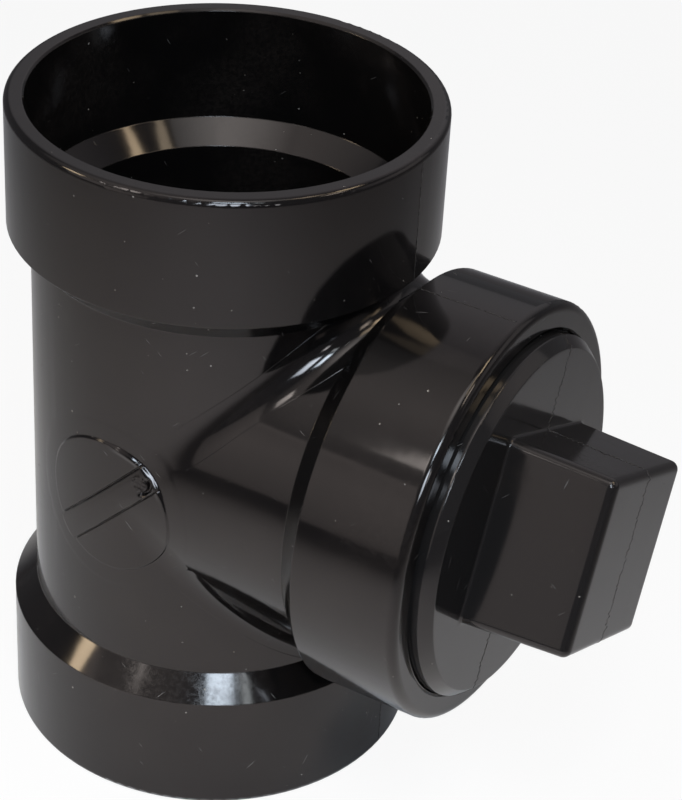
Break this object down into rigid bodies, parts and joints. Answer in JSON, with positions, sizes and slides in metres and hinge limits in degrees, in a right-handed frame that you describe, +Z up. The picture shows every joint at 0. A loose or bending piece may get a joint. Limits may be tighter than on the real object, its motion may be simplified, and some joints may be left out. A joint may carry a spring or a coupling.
{
  "type": "drainage cleanout tee",
  "caption": "Black moulded drainage tee with a pipe socket at each end of the run and a short side branch closed by a screw-in plug with a raised square head.",
  "frame": {"origin": "centre of the lower socket's mouth, on the run's axis", "axes": "+Z up along the run, +X along the branch towards the plug, +Y to complete a right-handed frame"},
  "size_m": [0.106, 0.0676, 0.111],
  "materials": {
    "tee_plastic": "glossy black moulding with fine scratches and dust",
    "plug_plastic": "glossy black moulding with parting lines"
  },
  "bodies": {
    "tee": {"tee_body": "tee_plastic"},
    "plug": {"cleanout_plug": "plug_plastic"}
  },
  "joints": [
    {"name": "plug_travel", "type": "slide", "parent": "tee", "child": "plug", "axis": [1, 0, 0], "range_m": [0, 0.03]}
  ]
}
